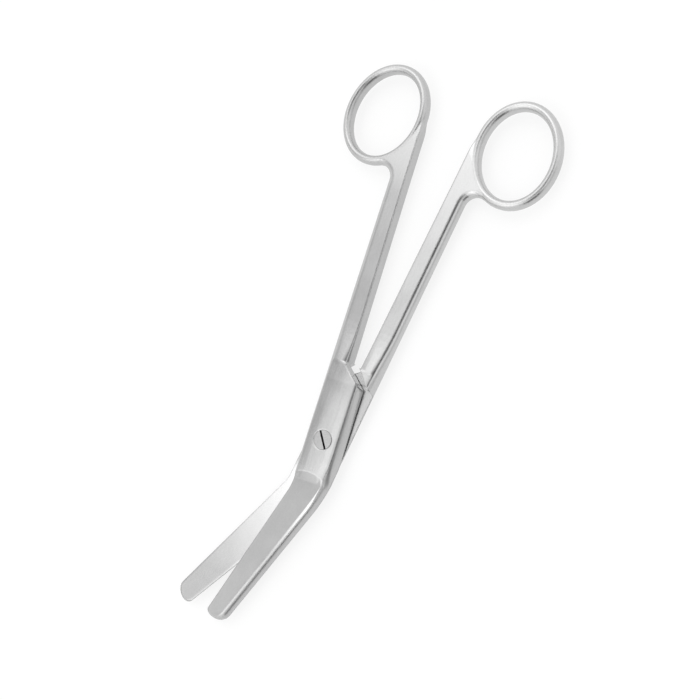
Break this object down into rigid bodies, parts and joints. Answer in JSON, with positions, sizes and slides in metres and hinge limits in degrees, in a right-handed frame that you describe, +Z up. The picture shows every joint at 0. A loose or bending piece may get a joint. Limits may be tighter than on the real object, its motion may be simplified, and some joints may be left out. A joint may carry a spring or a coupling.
{
  "type": "suture scissors",
  "caption": "Surgical scissors with blades angled in plane, blunt rounded tips, a lap joint with a flush slotted screw, slender shanks and oval finger rings.",
  "frame": {"origin": "on the joint screw's axis, in the plane of the rear half's outer face, which is the face the joint rests on", "axes": "+Y from the joint towards the finger rings, halfway between the two handles; +Z up, along the joint screw from the rear half to the front half; +X towards the rear half's finger ring"},
  "size_m": [0.072, 0.1787, 0.0071],
  "materials": {
    "front_steel": "satin, finely brushed along the length, with brighter worn edges",
    "rear_steel": "satin, finely brushed along the length, with brighter worn edges",
    "screw_steel": "satin, ground flush with the joint plate"
  },
  "bodies": {
    "rear": {"rear_half": "rear_steel", "joint_screw": "screw_steel"},
    "front": {"front_half": "front_steel"}
  },
  "joints": [
    {"name": "blade_pivot", "type": "hinge", "parent": "rear", "child": "front", "pos_m": [0, 0, 0], "axis": [0, 0, 1], "range_deg": [-9.5, 95]}
  ]
}
